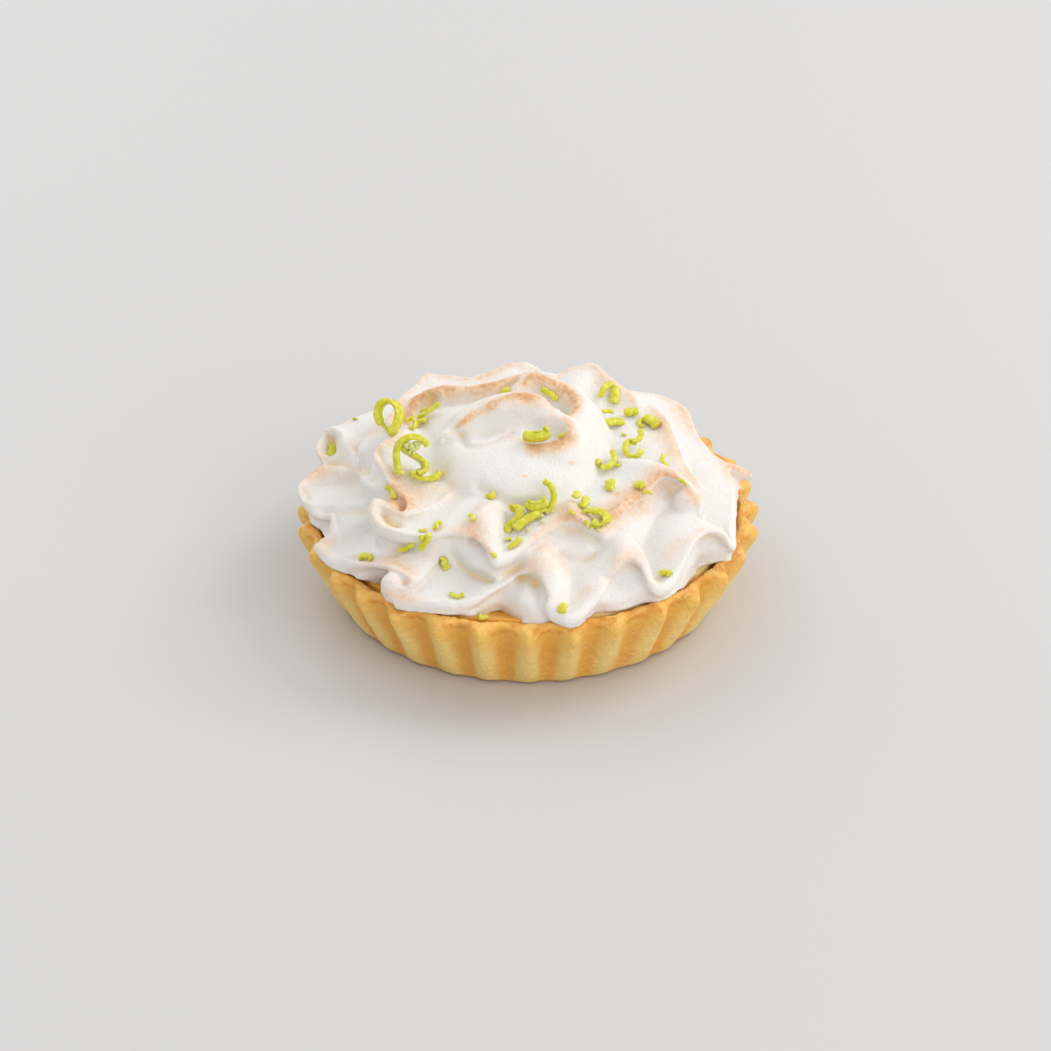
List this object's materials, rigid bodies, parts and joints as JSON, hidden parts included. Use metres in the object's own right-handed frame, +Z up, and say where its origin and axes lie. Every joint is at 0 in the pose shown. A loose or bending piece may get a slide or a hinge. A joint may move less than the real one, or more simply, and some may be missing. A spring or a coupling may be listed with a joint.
{
  "type": "meringue tart",
  "caption": "Small round tart: fluted shortcrust case filled with pale custard, under soft toasted meringue ruffles with curls of green chocolate.",
  "frame": {"origin": "centre of the flat underside of the pastry case, on the surface that the tart stands on", "axes": "+Z up, -Y towards the side that is seen first, with the open face of the last meringue curl, +X to the right of it"},
  "size_m": [0.1002, 0.1002, 0.0444],
  "materials": {
    "crust": "baked shortcrust, golden with a browner rim, dry and slightly rough",
    "custard": "smooth set custard, soft sheen",
    "meringue": "soft Italian meringue, satin, with toasted edges",
    "green_chocolate": "waxy coloured chocolate shavings, slightly translucent"
  },
  "bodies": {
    "root": {"crust": "crust", "custard": "custard", "meringue": "meringue", "curl_ring": "green_chocolate", "curl_double": "green_chocolate", "curl_roll": "green_chocolate", "curl_hook": "green_chocolate"}
  },
  "joints": []
}
